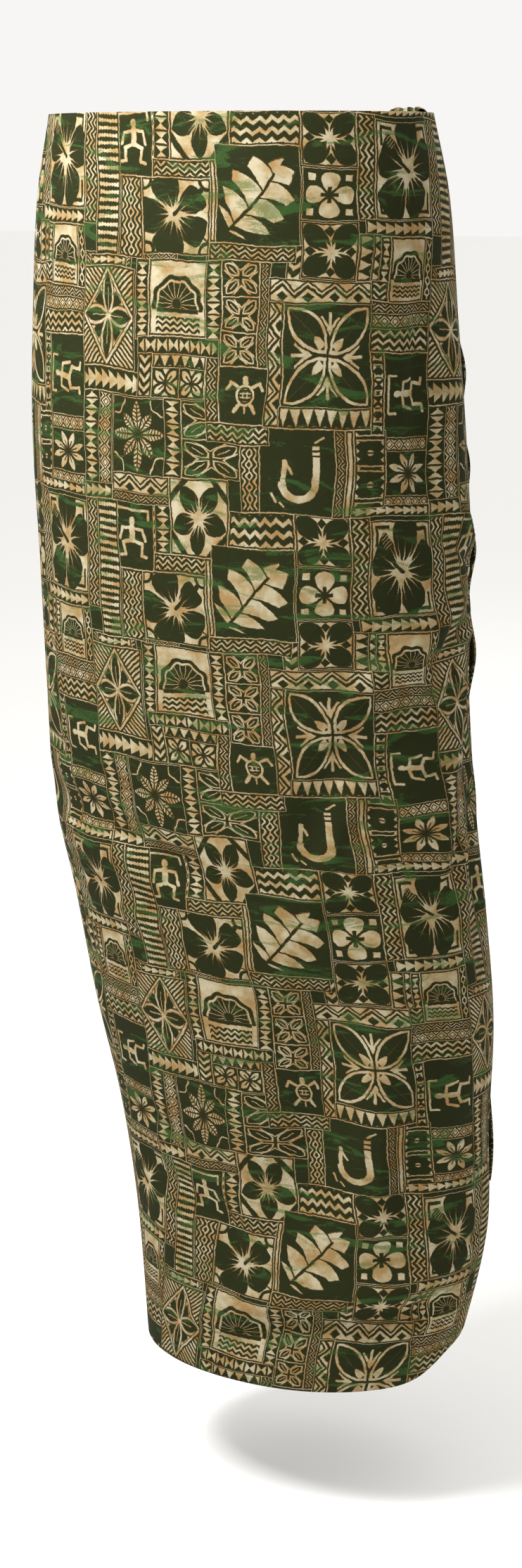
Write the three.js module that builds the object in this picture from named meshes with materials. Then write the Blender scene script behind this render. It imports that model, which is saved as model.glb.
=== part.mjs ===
// A lava lava: one rectangular cotton cloth wound round the hips. Its outer end is pulled up at the wearer's
// left and tucked in at the waist. Millimetres, +Z up. The origin is the centre of the waist ring,
// +X is the wearer's left and -Y the wearer's front. The walls keep the worn shape, hollow and open both ways.
import * as THREE from 'three';

// Driving sizes of the cloth, in millimetres.
const wall = 2;            // thickness of the cloth
const seamGap = 0.3;       // space between two pieces that meet end to end
const layerGap = 1;        // space between two layers that lie on each other
const mmPerDegree = 2.6;   // mean length round the hips of one degree, to measure distances on the cloth
const cutHeight = 995;     // height of the section table, from waist to the lowest hem

// Angles round the body in degrees: 0 is the front and 90 the wearer's left. The cloth is wound towards lower
// angles, so that -234 lies over 126. It starts under the back and ends in the free edge at the left.
const startAngle = 264;
const freeAngle = -234;
const fullTurn = 360;
const columnStep = 6;

// Level sections through the worn skirt. x and y are the section's centre, halfWidth runs along X and
// halfDepth along Y, square is the exponent of its superellipse, and rows the facets down to the next one.
const sections = [
  { name: 'waist', z: 0, x: 0, y: 0, halfWidth: 153, halfDepth: 110, square: 2.05, rows: 2 },
  { name: 'belly', z: -60, x: 2, y: -1, halfWidth: 165, halfDepth: 117, square: 2.05, rows: 2 },
  { name: 'hip', z: -150, x: 3, y: 0, halfWidth: 171, halfDepth: 121, square: 2.1, rows: 2 },
  { name: 'seat', z: -240, x: 5, y: 2, halfWidth: 176, halfDepth: 124, square: 2.1, rows: 3 },
  { name: 'thigh', z: -340, x: 9, y: 5, halfWidth: 177, halfDepth: 124, square: 2.1, rows: 3 },
  { name: 'low_thigh', z: -440, x: 9, y: 9, halfWidth: 175, halfDepth: 120, square: 2.15, rows: 2 },
  { name: 'above_knee', z: -530, x: 11, y: 16, halfWidth: 177, halfDepth: 118, square: 2.15, rows: 3 },
  { name: 'knee', z: -610, x: 19, y: 27, halfWidth: 174, halfDepth: 115, square: 2.15, rows: 3 },
  { name: 'shin', z: -700, x: 26, y: 38, halfWidth: 170, halfDepth: 112, square: 2.15, rows: 2 },
  { name: 'calf', z: -790, x: 32, y: 46, halfWidth: 158, halfDepth: 107, square: 2.15, rows: 2 },
  { name: 'ankle', z: -880, x: 37, y: 50, halfWidth: 151, halfDepth: 104, square: 2.15, rows: 6 },
  { name: 'hem', z: -cutHeight, x: 29, y: 49, halfWidth: 133, halfDepth: 100, square: 2.1, rows: 0 },
];

// The hem's height round the body.
const hemLine = [
  { angle: -180, z: -983 },
  { angle: -120, z: -985 },
  { angle: -60, z: -990 },
  { angle: 0, z: -991 },
  { angle: 45, z: -989 },
  { angle: 68, z: -985 },
  { angle: 88, z: -968 },
  { angle: 115, z: -960 },
  { angle: 150, z: -968 },
  { angle: 180, z: -983 },
];

// How far the outer layer's hem is pulled up: a little where it first covers the start, and most at the free edge.
const peek = { from: -66, over: 30, rise: 6 };
const pull = { from: -96, over: 138, rise: 106 };

// Where the cloth climbs onto its own start.
const climb = { from: -66, over: 27 };

// The main folds, pressed into every layer: a path of [angle, z] points, the half width of the fold, and its
// height, which is below zero for a trough.
const folds = [
  { name: 'left hip trough', half: 15, height: -7, path: [[80, -95], [77, -165], [75, -250], [72, -335]] },
  { name: 'left hip ridge', half: 17, height: 4, path: [[97, -120], [94, -200], [93, -270], [98, -340]] },
  { name: 'pinch hollow', half: 17, height: -8, path: [[112, -330], [107, -352], [114, -372]] },
  { name: 'pinch to front', half: 13, height: 5, path: [[106, -340], [86, -362], [64, -392], [44, -450]] },
  { name: 'under pinch to front', half: 13, height: -5, path: [[106, -356], [86, -392], [66, -436], [50, -500]] },
  { name: 'pinch to knee', half: 15, height: 5, path: [[108, -360], [92, -430], [80, -510], [74, -600]] },
  { name: 'pinch to calf', half: 15, height: -6, path: [[112, -360], [102, -450], [97, -560], [93, -680]] },
  { name: 'right drag', half: 17, height: -6, path: [[-76, -520], [-23, -530], [-4, -559], [10, -584], [26, -606]] },
  { name: 'right drag lip', half: 16, height: 4, path: [[-60, -556], [-20, -562], [0, -592], [16, -622]] },
  { name: 'knee crease', half: 14, height: -5, path: [[28, -594], [42, -594], [58, -587]] },
  { name: 'thigh drag', half: 16, height: -6, path: [[56, -430], [44, -456], [35, -510], [25, -575]] },
  { name: 'between the legs', half: 34, height: -15, path: [[38, -612], [31, -673], [26, -738], [20, -812], [15, -900]] },
  { name: 'left shin ridge', half: 26, height: 5, path: [[52, -640], [46, -720], [40, -800], [36, -880]] },
  { name: 'left calf trough', half: 20, height: -8, path: [[72, -640], [66, -690], [59, -762], [50, -860]] },
  { name: 'right shin drag', half: 17, height: -5, path: [[-50, -815], [-34, -830], [-11, -851], [8, -888]] },
  { name: 'ankle roll', half: 15, height: 6, path: [[-22, -926], [-2, -930], [20, -908], [42, -906], [66, -892], [92, -884]] },
  { name: 'ankle roll crease', half: 11, height: -8, path: [[-18, -952], [-3, -952], [19, -932], [40, -931], [62, -921], [92, -906]] },
  { name: 'right hip drag', half: 18, height: -5, path: [[-84, -110], [-98, -230], [-118, -340], [-150, -440]] },
  { name: 'right calf trough', half: 24, height: -9, path: [[-84, -640], [-92, -740], [-99, -850], [-104, -960]] },
  { name: 'right side ridge', half: 22, height: 5, path: [[-118, -520], [-116, -660], [-120, -800]] },
  { name: 'tuck drag high', half: 18, height: -5, path: [[140, -20], [166, -100], [198, -190], [236, -280]] },
  { name: 'tuck drag middle', half: 18, height: -6, path: [[136, -70], [156, -190], [184, -330], [220, -450]] },
  { name: 'tuck drag steep', half: 16, height: -5, path: [[133, -150], [146, -290], [160, -420], [176, -540]] },
  { name: 'back of knee crease', half: 16, height: -7, path: [[146, -590], [170, -612], [202, -616], [232, -598]] },
  { name: 'back of knee roll', half: 16, height: 5, path: [[150, -622], [176, -646], [206, -648], [236, -628]] },
  { name: 'back trough', half: 34, height: -13, path: [[196, -670], [192, -760], [188, -870], [185, -1010]] },
  { name: 'left back trough', half: 18, height: -6, path: [[146, -640], [142, -760], [136, -880], [132, -980]] },
];

// Ridges of the outer layer alone, which fan out from the tuck.
const looseFolds = [
  { name: 'tuck fan level', half: 14, height: 4, path: [[-226, -26], [-206, -52], [-178, -96], [-150, -150]] },
  { name: 'tuck fan middle', half: 15, height: 5, path: [[-229, -40], [-212, -130], [-192, -240], [-170, -350]] },
  { name: 'tuck fan steep', half: 15, height: 4, path: [[-228, -300], [-216, -420], [-204, -560], [-196, -700]] },
];

// The ruffles of the free edge: how far each stands out, centred at z, and its half height.
const ruffles = [
  { z: -118, half: 20, out: 2 },
  { z: -190, half: 24, out: 6 },
  { z: -262, half: 22, out: 5 },
  { z: -326, half: 24, out: 7 },
  { z: -410, half: 30, out: 8 },
  { z: -520, half: 40, out: 4 },
  { z: -640, half: 40, out: 3 },
  { z: -815, half: 52, out: 7 },
];
const ruffleReach = 26;   // degrees over which the ruffles die out from the free edge

// The wound stretches of the cloth. fine multiplies the rows where a ruffled edge needs them.
const stretches = [
  { name: 'under_back_stretch', from: startAngle, to: 162, fine: 1, exposedRows: 4, tint: 0x3f4a33 },
  { name: 'under_left_stretch', from: 162, to: 126, fine: 2, exposedRows: 6, tint: 0x4a563a },
  { name: 'left_stretch', from: 126, to: 66, fine: 1, exposedRows: 0, tint: 0x6f6f4c },
  { name: 'front_stretch', from: 66, to: -60, fine: 1, exposedRows: 0, tint: 0x7b7a55 },
  { name: 'right_stretch', from: -60, to: -120, fine: 1, exposedRows: 0, tint: 0x6f6f4c },
  { name: 'back_stretch', from: -120, to: -198, fine: 1, exposedRows: 0, tint: 0x7b7a55 },
  { name: 'free_end', from: -198, to: freeAngle, fine: 2, exposedRows: 0, tint: 0x8a8560 },
];

// The narrow hem rolled on the free edge, and the corner tucked over the waist.
const edgeHem = { width: 6, thickness: 1 };
const tuck = { from: -212, to: -231, columns: 6, depth: 46, pleats: 3, pleatHeight: 1.2, crown: 0.6, arcSteps: 6, legSteps: 3 };

const clamp = (value) => Math.min(1, Math.max(0, value));
const smooth = (value) => clamp(value) ** 2 * (3 - 2 * clamp(value));
const radians = (degrees) => degrees * Math.PI / 180;
const mix = (a, b, share) => a + (b - a) * share;
const wrapped = (angle) => angle - fullTurn * Math.round(angle / fullTurn);

// Cubic through the rows of a table at a place on its key column, with slopes from the neighbouring rows.
function cubicAt(table, key, column, place) {
  const rising = table[table.length - 1][key] > table[0][key];
  const passed = (row) => (rising ? row[key] <= place : row[key] >= place);
  const index = Math.min(table.length - 2, Math.max(0, table.filter(passed).length - 1));
  const slope = (i) => {
    const low = table[Math.max(0, i - 1)];
    const high = table[Math.min(table.length - 1, i + 1)];
    return (high[column] - low[column]) / (high[key] - low[key]);
  };
  const a = table[index];
  const b = table[index + 1];
  const span = b[key] - a[key];
  const t = (place - a[key]) / span;
  const rest = 1 - t;
  return (1 + 2 * t) * rest ** 2 * a[column] + t * rest ** 2 * span * slope(index)
    + t ** 2 * (3 - 2 * t) * b[column] - t ** 2 * rest * span * slope(index + 1);
}

// A point of the smooth body form, as [x, y].
function bodyPoint(angle, z) {
  const size = (column) => cubicAt(sections, 'z', column, z);
  const power = 2 / size('square');
  const side = Math.sin(radians(angle));
  const front = Math.cos(radians(angle));
  return [
    size('x') + size('halfWidth') * Math.sign(side) * Math.abs(side) ** power,
    size('y') - size('halfDepth') * Math.sign(front) * Math.abs(front) ** power,
  ];
}

// The point that stands out from the body form by a distance, level and square to it.
function pointOut(angle, z, out) {
  const probe = 0.5;
  const [x, y] = bodyPoint(angle, z);
  const [x1, y1] = bodyPoint(angle - probe, z);
  const [x2, y2] = bodyPoint(angle + probe, z);
  const length = Math.hypot(x2 - x1, y2 - y1);
  return [x + out * (y2 - y1) / length, y - out * (x2 - x1) / length, z];
}

// Height of a table of folds at a point: each is a soft bell across its path that fades at the path's ends.
function foldHeight(table, angle, z) {
  let height = 0;
  for (const fold of table) {
    const steps = fold.path.slice(1).map((end, i) => {
      const start = fold.path[i];
      return { start, run: [(end[0] - start[0]) * mmPerDegree, end[1] - start[1]] };
    });
    const lengths = steps.map((step) => Math.hypot(...step.run));
    const total = lengths.reduce((sum, length) => sum + length, 0);
    let nearest = Infinity;
    let along = 0;
    let passed = 0;
    steps.forEach((step, i) => {
      const dx = wrapped(angle - step.start[0]) * mmPerDegree;
      const dz = z - step.start[1];
      const share = clamp((dx * step.run[0] + dz * step.run[1]) / lengths[i] ** 2);
      const distance = Math.hypot(dx - share * step.run[0], dz - share * step.run[1]);
      if (distance < nearest) {
        nearest = distance;
        along = (passed + share * lengths[i]) / total;
      }
      passed += lengths[i];
    });
    const fade = smooth(Math.min(along, 1 - along) / 0.3);
    height += fold.height * Math.exp(-((nearest / fold.half) ** 2)) * fade;
  }
  return height;
}

// How far the cloth's outer face stands off the body form.
function standOut(angle, z) {
  const lift = (wall + layerGap) * smooth((climb.from - angle) / climb.over);
  const loose = angle < climb.from ? foldHeight(looseFolds, angle, z) : 0;
  const edge = smooth(1 - (angle - freeAngle) / ruffleReach) ** 1.5;
  const ruffle = ruffles.reduce((sum, row) => sum + row.out * Math.exp(-(((z - row.z) / row.half) ** 2)), 0);
  return foldHeight(folds, angle, z) + lift + loose + (angle < climb.from ? edge * ruffle : 0);
}

// The hem's height: level round the start, and pulled up on the outer layer.
function hemHeight(angle) {
  const level = cubicAt(hemLine, 'angle', 'z', wrapped(angle));
  const lifted = clamp((pull.from - angle) / pull.over);
  return level + peek.rise * smooth((peek.from - angle) / peek.over)
    + pull.rise * lifted * (0.4 + 0.6 * lifted);
}

// Heights of the rows of one column, from the waist to the hem. A row table has all sections' rows, and the
// part of the under layer that shows below the outer layer's hem has rows of its own.
function rowHeights(angle, fine, exposedRows) {
  const over = exposedRows > 0 ? angle - fullTurn : angle;
  const hem = hemHeight(over);
  const heights = [0];
  sections.slice(0, -1).forEach((section, i) => {
    const count = section.rows * fine;
    for (let row = 1; row <= count; row++) {
      heights.push(mix(section.z, sections[i + 1].z, row / count) * hem / -cutHeight);
    }
  });
  for (let row = 1; row <= exposedRows; row++) {
    heights.push(mix(hem, hemHeight(angle), row / exposedRows));
  }
  return heights;
}

// A closed wall from two grids of points with the same rows and columns, the outer face and the inner one.
function wallBody(outer, inner) {
  const columns = outer.length;
  const rows = outer[0].length;
  const positions = [...outer.flat(2), ...inner.flat(2)];
  const at = (side, column, row) => (side * columns + column) * rows + row;
  const triangles = [];
  const quad = (a, b, c, d) => triangles.push(a, b, c, a, c, d);
  for (let i = 0; i < columns - 1; i++) {
    for (let j = 0; j < rows - 1; j++) {
      quad(at(0, i, j), at(0, i, j + 1), at(0, i + 1, j + 1), at(0, i + 1, j));
      quad(at(1, i, j), at(1, i + 1, j), at(1, i + 1, j + 1), at(1, i, j + 1));
    }
    quad(at(0, i, 0), at(0, i + 1, 0), at(1, i + 1, 0), at(1, i, 0));
    quad(at(0, i, rows - 1), at(1, i, rows - 1), at(1, i + 1, rows - 1), at(0, i + 1, rows - 1));
  }
  for (let j = 0; j < rows - 1; j++) {
    quad(at(0, 0, j), at(1, 0, j), at(1, 0, j + 1), at(0, 0, j + 1));
    quad(at(0, columns - 1, j), at(0, columns - 1, j + 1), at(1, columns - 1, j + 1), at(1, columns - 1, j));
  }
  const geometry = new THREE.BufferGeometry();
  geometry.setAttribute('position', new THREE.Float32BufferAttribute(positions, 3));
  geometry.setIndex(triangles);
  geometry.computeVertexNormals();
  return geometry;
}

// Angles of a run of columns, in falling order, with half a seam's gap kept free at both ends.
function columnAngles(from, to, count) {
  const margin = seamGap / 2 / mmPerDegree;
  return Array.from({ length: count + 1 }, (_, i) => mix(from - margin, to + margin, i / count)).reverse();
}

// One wound stretch of the cloth.
function stretchBody({ from, to, fine, exposedRows }) {
  const angles = columnAngles(from, to, (from - to) / columnStep);
  const face = (depth) => angles.map((angle) => rowHeights(angle, fine, exposedRows)
    .map((z) => pointOut(angle, z, standOut(angle, z) - depth)));
  return wallBody(face(0), face(wall));
}

// The narrow hem that lies on the free edge's outer face.
function edgeHemBody() {
  const { fine } = stretches[stretches.length - 1];
  const angles = columnAngles(freeAngle + edgeHem.width / mmPerDegree, freeAngle, 1);
  const face = (height) => angles.map((angle) => rowHeights(angle, fine, 0)
    .map((z) => pointOut(angle, z, standOut(angle, z) + height)));
  return wallBody(face(seamGap + edgeHem.thickness), face(seamGap));
}

// The free end's upper corner, gathered in small pleats over the waist edge and pushed down inside it.
function tuckBody() {
  const angles = columnAngles(tuck.from, tuck.to, tuck.columns);
  const face = (side) => angles.map((angle) => {
    const share = (tuck.from - angle) / (tuck.from - tuck.to);
    const outside = standOut(angle, 0) - wall / 2;
    const insideAt = (z) => foldHeight(folds, angle, z) - wall - layerGap - wall / 2;
    const radius = (outside - insideAt(0)) / 2;
    const middle = (outside + insideAt(0)) / 2;
    const crown = tuck.crown + tuck.pleatHeight * Math.sin(Math.PI * tuck.pleats * share) ** 2;
    const half = side * wall / 2;
    const path = [[outside + half, seamGap]];
    for (let step = 0; step <= tuck.arcSteps; step++) {
      const turn = Math.PI * step / tuck.arcSteps;
      path.push([middle + (radius + half) * Math.cos(turn), crown + (radius + half) * Math.sin(turn)]);
    }
    for (let step = 1; step <= tuck.legSteps; step++) {
      const z = mix(crown, -tuck.depth, step / tuck.legSteps);
      path.push([insideAt(z) - half, z]);
    }
    return path.map(([out, z]) => pointOut(angle, z, out));
  });
  return wallBody(face(-1), face(1));
}

const group = new THREE.Group();

function addPiece(name, geometry, tint) {
  const finish = new THREE.MeshStandardMaterial({ color: tint, roughness: 0.85, metalness: 0 });
  const piece = new THREE.Mesh(geometry, finish);
  piece.name = name;
  group.add(piece);
}

for (const stretch of stretches) {
  addPiece(stretch.name, stretchBody(stretch), stretch.tint);
}
addPiece('free_edge_hem', edgeHemBody(), 0x55603f);
addPiece('waist_tuck', tuckBody(), 0x66704a);

export default group;
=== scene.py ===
import math

import bpy
import numpy as np
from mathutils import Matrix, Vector


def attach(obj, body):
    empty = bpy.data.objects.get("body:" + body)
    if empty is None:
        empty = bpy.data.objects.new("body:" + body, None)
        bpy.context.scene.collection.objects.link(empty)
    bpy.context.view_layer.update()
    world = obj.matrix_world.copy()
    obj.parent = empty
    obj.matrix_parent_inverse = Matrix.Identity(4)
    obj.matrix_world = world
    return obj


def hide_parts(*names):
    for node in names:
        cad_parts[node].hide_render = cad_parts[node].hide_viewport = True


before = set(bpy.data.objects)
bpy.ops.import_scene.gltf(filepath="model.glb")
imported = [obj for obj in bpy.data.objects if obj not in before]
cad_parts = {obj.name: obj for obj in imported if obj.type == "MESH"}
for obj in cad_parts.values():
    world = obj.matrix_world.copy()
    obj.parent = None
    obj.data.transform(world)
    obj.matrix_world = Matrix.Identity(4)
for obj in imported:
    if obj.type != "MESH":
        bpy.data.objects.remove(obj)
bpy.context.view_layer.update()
scene = bpy.context.scene
scene.view_settings.view_transform = "Standard"

# The camera stands 2.2 m from the waist, 30 degrees round to the wearer's left, and looks a little down.
camera_turn = math.radians(30.0)
camera_dip = math.radians(12.15)
camera_place = (1.1147, -1.897, -0.040)
camera_lens = 65.65
camera_data = bpy.data.cameras.new("camera")
camera_data.lens = camera_lens
camera = bpy.data.objects.new("camera", camera_data)
camera.location = camera_place
camera.rotation_euler = (math.pi / 2 - camera_dip, 0.0, camera_turn)
scene.collection.objects.link(camera)
scene.camera = camera

# A pale floor lies 110 mm below the hem, where a wearer's soles would be, under an even white studio sky.
# A soft light stands close in front, above the waist and to the camera's left, so the cloth darkens towards
# its hem and its right. A light behind keeps the floor even.
floor_height = -1.10
floor_reach = 40.0
sky_strength = 0.93
softboxes = [
    {"name": "key", "place": (-0.38, -0.84, 0.60), "toward": (0.0, 0.0, -0.15), "watts": 31.0, "size": 0.5},
    {"name": "back", "place": (0.8, 3.6, 1.4), "toward": (0.0, 0.0, -0.5), "watts": 30.0, "size": 2.8},
]


def linear(red, green, blue):
    """A colour given in steps from 0 to 255, as the linear light that a shader takes."""
    shares = [step / 255 for step in (red, green, blue)]
    return tuple(s / 12.92 if s < 0.04045 else ((s + 0.055) / 1.055) ** 2.4 for s in shares)


def new_mesh(name, points, faces, places=None):
    """A mesh object at the origin from an array of points in metres, one of faces and one of UV places."""
    mesh = bpy.data.meshes.new(name)
    mesh.from_pydata(points.tolist(), [], faces.tolist())
    mesh.polygons.foreach_set("use_smooth", np.ones(len(faces), bool))
    if places is not None:
        layer = mesh.uv_layers.new(name="cloth")
        layer.data.foreach_set("uv", places[faces.ravel()].ravel())
    made = bpy.data.objects.new(name, mesh)
    scene.collection.objects.link(made)
    return made


def plain_material(name, colour, roughness):
    """A material of one colour and roughness, for the floor."""
    made = bpy.data.materials.new(name)
    made.use_nodes = True
    shader = made.node_tree.nodes["Principled BSDF"]
    shader.inputs["Base Color"].default_value = (*colour, 1.0)
    shader.inputs["Roughness"].default_value = roughness
    return made


floor_corners = np.array([(-1, -1, 0), (1, -1, 0), (1, 1, 0), (-1, 1, 0)]) * floor_reach
floor = new_mesh("floor", floor_corners + (0.0, 0.0, floor_height), np.array([[0, 1, 2, 3]]))
floor.data.materials.append(plain_material("pale_floor", linear(250, 249, 247), 0.9))

scene.world = bpy.data.worlds.new("sky")
scene.world.use_nodes = True
sky = scene.world.node_tree.nodes["Background"]
sky.inputs["Color"].default_value = (*linear(255, 254, 252), 1.0)
sky.inputs["Strength"].default_value = sky_strength
for softbox in softboxes:
    light_data = bpy.data.lights.new(softbox["name"], "AREA")
    light_data.energy = softbox["watts"]
    light_data.size = softbox["size"]
    light = bpy.data.objects.new(softbox["name"], light_data)
    light.location = softbox["place"]
    toward = Vector(softbox["toward"]) - light.location
    light.rotation_euler = toward.to_track_quat("-Z", "Y").to_euler()
    scene.collection.objects.link(light)


# The printed cloth: plain-weave cotton, dyed dark green and block printed in tan with brown edges and
# brushed green washes. One repeat of the print is a patchwork of blocks, each filled with a flower, a leaf,
# an animal or a band. Its UV map holds metres along the cloth (u) and down from its upper edge (v).


class Tone:
    """A socket of a node tree. Operators between tones and numbers add Math nodes to the same tree."""

    def __init__(self, socket):
        self.socket = socket

    def node(self, kind, settings=None, inputs=None, output=0):
        """Adds a node to the same tree: its settings first, then the values or tones of its sockets."""
        tree = self.socket.id_data
        made = tree.nodes.new("ShaderNode" + kind)
        for name, value in (settings or {}).items():
            if name == "stops":
                ramp = made.color_ramp.elements
                while len(ramp) < len(value):
                    ramp.new(0.5)
                for element, (place, colour) in zip(ramp, value):
                    element.position, element.color = place, (*colour, 1.0)
            else:
                setattr(made, name, value)
        for key, value in (inputs or {}).items():
            if isinstance(value, Tone):
                tree.links.new(value.socket, made.inputs[key])
            else:
                made.inputs[key].default_value = value
        return Tone(made.outputs[output])

    def math(self, operation, *values, clamp=False):
        """A Math node with this as its first value."""
        settings = {"operation": operation, "use_clamp": clamp}
        return self.node("Math", settings, dict(enumerate((self, *values))))

    def vector(self, operation, *values, output=0):
        """A Vector Math node with this as its first vector."""
        return self.node("VectorMath", {"operation": operation}, dict(enumerate((self, *values))), output)

    def length(self):
        """The length of a vector."""
        return self.vector("LENGTH", output="Value")

    def parts(self):
        """The x, y and z of a vector."""
        x = self.node("SeparateXYZ", inputs={0: self})
        return x, Tone(x.socket.node.outputs[1]), Tone(x.socket.node.outputs[2])

    def point(self, other):
        """The vector with this as x and the other as y."""
        return self.node("CombineXYZ", inputs={0: self, 1: other})

    def __add__(self, other):
        return self.math("ADD", other)

    def __sub__(self, other):
        return self.math("SUBTRACT", other)

    def __rsub__(self, other):
        return self.node("Math", {"operation": "SUBTRACT"}, {0: other, 1: self})

    def __mul__(self, other):
        return self.math("MULTIPLY", other)

    def __truediv__(self, other):
        return self.math("DIVIDE", other)

    def __pow__(self, other):
        return self.math("POWER", other)

    def __abs__(self):
        return self.math("ABSOLUTE")

    def __neg__(self):
        return self.math("MULTIPLY", -1.0)

    __radd__, __rmul__ = __add__, __mul__

    def times_plus(self, factor, added):
        """This times the factor, plus what is added, in one node."""
        return self.math("MULTIPLY_ADD", factor, added)

    def least(self, other):
        return self.math("MINIMUM", other)

    def most(self, other):
        return self.math("MAXIMUM", other)

    def swing(self, half):
        """Rises and falls between 0 and half, as the distance to the nearest multiple of twice half does."""
        return self.math("PINGPONG", half)

    def blend(self, first, second, kind="FLOAT"):
        """The first where this is 0 and the second where it is 1."""
        keys = {"FLOAT": (0, 2, 3), "VECTOR": (0, 4, 5), "RGBA": (0, 6, 7)}[kind]
        output = {"FLOAT": 0, "VECTOR": 1, "RGBA": 2}[kind]
        return self.node("Mix", {"data_type": kind}, dict(zip(keys, (self, first, second))), output)

    def soften(self, low, high):
        """0 up to low, 1 from high on, and an even rise between them."""
        return self.node("MapRange", {"interpolation_type": "SMOOTHSTEP"}, {0: self, 1: low, 2: high})


# Bands. Each takes the place in its block in millimetres, x along the band and y across it, and the half of
# the band's width. It gives a height above zero where the cloth is printed and below zero where it is bare.

def zigzag(x, y, half):
    """Zigzag lines along the band: a triangle wave of y shifted by a triangle wave of x."""
    return ((y + x.swing(4.3) * 0.85).swing(half * 0.32) - half * 0.165) * 0.75


def chain(x, y, half):
    """Linked diamond outlines round small diamonds: rings of constant distance in the diamond measure."""
    spread = abs(y) + x.swing(4.4)
    inner, outer = abs(spread - 3.6), abs(spread - 6.6)
    return (0.62 - inner * 0.7).most(2.1 - spread).most(0.7 - outer * 0.7)


def lozenges(x, y, half):
    """A printed ground with two dark zigzag lines and a dark diamond below each peak."""
    run = x.swing(9.3)
    slant = y + run * 0.8
    lower, upper = abs(slant - 3.4) * 0.75 - 0.75, abs(slant + 0.4) * 0.75 - 0.5
    diamond = (abs(y - 3.4) + (9.3 - run) * 0.85 - 3.4) * 0.75
    return lower.least(diamond).least(upper)


def arrows(x, y, half):
    """A row of triangles that point along the band, each set into the next."""
    return (half * 0.80 - x.math("FLOORED_MODULO", 7.4) * half * 0.085 - abs(y)) * 0.8


def teeth(x, y, half):
    """Saw teeth that stand on one side of the band, with a row of small ones opposite."""
    large = (x.swing(4.2) - (y + half) / half * 2.4 + 0.4) * 0.8
    small = (y - half + 0.3 + (4.2 - x.swing(4.2)) * 0.5) * 0.8
    return large.most(small)


def hourglasses(x, y, half):
    """Hourglasses end to end, with a bare line between each two."""
    run = x.swing(4.6)
    return ((4.6 - run) * 0.19 * half + 0.4 - abs(y)).least(run - 0.6).least(half - 1.6 - abs(y))


def comb(x, y, half):
    """Broad bars across the band, with finely toothed edges and narrower ends."""
    bulge = y / half * y / half
    return x.swing(2.9) - 1.2 - y.swing(1.35) * 0.5 + bulge * 0.6


def ripples(x, y, half):
    """Wavy lines along the band, mirrored about its middle: a triangle wave of y shifted by a sine of x."""
    return (abs(y) + (x * 0.72).math("SINE") * 1.3 + 1.0).swing(1.9) - 0.95


def ladder(x, y, half):
    """Rungs in pairs across the band, a dot between the pairs and short ticks at both edges."""
    pitch = x.swing(11.0)
    rungs = 0.65 - abs(pitch - 1.7)
    dots = (2.2 - (11.0 - pitch).point(y * 0.9).length()).least(10.6 - pitch)
    ticks = (abs(y) - half + 4.2 - x.swing(3.1) * 1.1).least(1.0)
    return rungs.most(dots).most(ticks)


def hatching(x, y, half):
    """Slanting stripes that meet on the band's middle line."""
    return (x + abs(y)).swing(3.3) * 0.7 - 1.1


def bar(x, y, half):
    """A plain printed bar, whose height is 1 everywhere."""
    return y * 0.0 + 1.0


# Pictures. Each takes the place in its block in millimetres, x to the right and y down, and the size of half
# a block. It gives a height as a band does.

def stroke(place, start, end, half_width):
    """A round-ended line between two points: its half width less the distance to it."""
    run = (end[0] - start[0], end[1] - start[1], 0.0)
    size = run[0] ** 2 + run[1] ** 2
    offset = place.vector("SUBTRACT", (*start, 0.0))
    share = offset.vector("DOT_PRODUCT", run, output="Value").math("DIVIDE", size, clamp=True)
    return half_width - share.vector("MULTIPLY_ADD", (-run[0], -run[1], 0.0), offset).length()


def strokes(place, table):
    """The highest of several strokes, one for each row of start, end and half width."""
    height = None
    for start, end, half_width in table:
        line = stroke(place, start, end, half_width)
        height = line if height is None else height.most(line)
    return height


def standing_figure(x, y, swap):
    """A plain stick figure with lowered arms and bent legs beneath a beam, alike on both sides."""
    side, up = swap.blend(abs(x), abs(y)), swap.blend(y, x)
    return strokes(side.point(up), [
        ((0.0, -11.5), (0.0, -10.0), 2.6), ((0.0, -6.0), (0.0, 4.0), 2.6), ((0.5, -5.5), (8.5, -4.5), 1.4),
        ((8.5, -4.5), (11.0, 4.5), 1.3), ((1.0, 4.5), (8.0, 7.0), 1.6), ((8.0, 7.0), (7.0, 16.0), 1.4),
        ((7.0, 16.0), (11.5, 17.0), 1.3), ((0.0, -18.5), (13.5, -18.5), 1.1),
        ((13.5, -18.5), (13.5, -12.0), 1.1),
    ])


def turtle(x, y, size):
    """A sea turtle from above: a ringed shell, a head, a tail, and flippers alike on both sides."""
    side = abs(x)
    shell = 8.4 - (side * 1.25).point(y).length()
    ring = shell.least(2.3 - shell)
    lengthwise = (0.65 - abs(side - 1.5)).least(2.6 - abs(y))
    crosswise = (0.65 - abs(y.swing(3.2) - 1.6)).least(shell - 3.4)
    marks = lengthwise.most(crosswise).least(shell - 3.2)
    return ring.most(marks).most(strokes(side.point(y), [
        ((0.0, -9.5), (0.0, -12.5), 2.0), ((4.5, -6.0), (10.0, -9.5), 1.4),
        ((10.0, -9.5), (12.5, -4.0), 1.2), ((4.0, 6.5), (8.0, 12.0), 1.4), ((0.0, 9.0), (0.0, 12.5), 0.8),
    ]))


def fish_hook(x, y, size):
    """A carved fish hook: a straight shank, a half-round bend under it, a barbed point and a tied cord."""
    bend = (2.9 - abs(x.point(y - 9.0).length() - 11.5)).least(y - 8.5)
    shank = (2.8 - abs(x - 11.5)).least(y + 20.0).least(9.5 - y)
    grooves = (y.swing(2.0) - 0.6).most(y + 10.0)
    return bend.most(shank.least(grooves)).most(strokes(x.point(y), [
        ((-11.5, 9.0), (-10.0, -6.0), 1.9), ((-9.5, -4.5), (-5.5, 2.0), 1.2),
        ((11.5, -22.0), (18.0, -26.0), 1.0), ((-18.0, 18.0), (-15.0, 24.0), 1.1),
        ((-12.0, 24.0), (-9.0, 27.0), 0.9),
    ]))


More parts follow.
